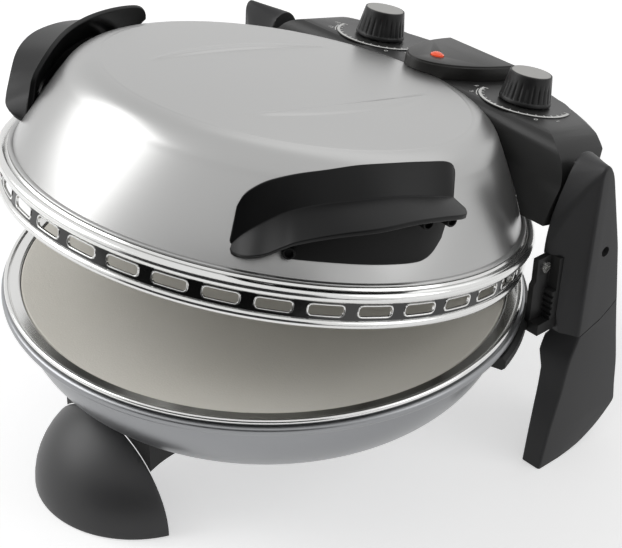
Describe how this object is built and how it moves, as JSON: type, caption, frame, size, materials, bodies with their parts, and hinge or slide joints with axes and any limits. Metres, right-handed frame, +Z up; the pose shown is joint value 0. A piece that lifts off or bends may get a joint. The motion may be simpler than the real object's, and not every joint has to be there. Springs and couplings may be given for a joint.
{
  "type": "electric pizza maker",
  "caption": "Round tabletop pizza maker: a hinged domed lid with side handles and rear controls closes over a shallow bowl with a baking stone, standing on a front foot and side legs.",
  "frame": {"origin": "on the floor, in the middle of the object's width and of its depth with the lid as at rest", "axes": "+Z up, -Y to the front where the lid opens, +X to the right seen from the front; lid open about 12 degrees at rest"},
  "size_m": [0.339, 0.3896, 0.2632],
  "materials": {
    "bowl_silver": "satin silver paint",
    "polished_steel": "polished",
    "pan_steel": "rolled sheet",
    "heater_metal": "dull",
    "black_plastic": "fine grain",
    "leg_plastic": "fine grain",
    "screw_steel": "plated",
    "stone": "matt fired clay",
    "dome_silver": "gloss silver with a matt plateau",
    "handle_plastic": "satin",
    "console_plastic": "fine grain",
    "plaque_plastic": "satin",
    "lens": "clear red",
    "dial_print": "black with white print",
    "ceramic_white": "unglazed",
    "knob_plastic": "satin",
    "cap_silver": "satin"
  },
  "bodies": {
    "base": {"base_bowl": "bowl_silver", "bowl_rim": "polished_steel", "inner_pan": "pan_steel", "lower_element": "heater_metal", "element_clips": "pan_steel", "front_foot": "black_plastic", "foot_block": "black_plastic", "rear_cradle": "black_plastic", "bracket_left": "black_plastic", "bracket_right": "black_plastic", "bracket_screws": "screw_steel", "leg_left": "leg_plastic", "leg_right": "leg_plastic", "arm_cover_left": "leg_plastic", "arm_cover_right": "leg_plastic", "cover_screws": "screw_steel", "hinge_lugs": "black_plastic", "hinge_pin": "screw_steel"},
    "stone": {"baking_stone": "stone"},
    "lid": {"dome_shell": "dome_silver", "slot_band": "polished_steel", "lid_reflector": "pan_steel", "upper_element": "heater_metal", "upper_clips": "pan_steel", "handle_left": "handle_plastic", "handle_right": "handle_plastic", "handle_plate_left": "handle_plastic", "handle_plate_right": "handle_plastic", "handle_posts": "handle_plastic", "console_cover": "console_plastic", "console_base": "black_plastic", "hinge_ears": "black_plastic", "plaque": "plaque_plastic", "pilot_lens": "lens", "dial_left": "dial_print", "dial_right": "dial_print", "thermostat_body": "heater_metal", "timer_body": "heater_metal", "terminal_block": "ceramic_white", "cable_gland": "black_plastic"},
    "thermostat_dial": {"thermostat_knob": "knob_plastic", "thermostat_cap": "cap_silver"},
    "timer_dial": {"timer_knob": "knob_plastic", "timer_cap": "cap_silver"}
  },
  "joints": [
    {"name": "lid_hinge", "type": "hinge", "parent": "base", "child": "lid", "pos_m": [0, 0.17216, 0.1415], "axis": [-1, 0, 0], "range_deg": [-11.8, 76]},
    {"name": "stone_lift", "type": "slide", "parent": "base", "child": "stone", "axis": [0, 0, 1], "range_m": [0, 0.012]},
    {"name": "thermostat_turn", "type": "hinge", "parent": "lid", "child": "thermostat_dial", "pos_m": [0.067, 0.13726, 0.21371], "axis": [0, 0.2055, 0.9787], "range_deg": [-270, 0]},
    {"name": "timer_turn", "type": "hinge", "parent": "lid", "child": "timer_dial", "pos_m": [-0.067, 0.13726, 0.21371], "axis": [0, 0.2055, 0.9787], "range_deg": [-300, 0]}
  ]
}
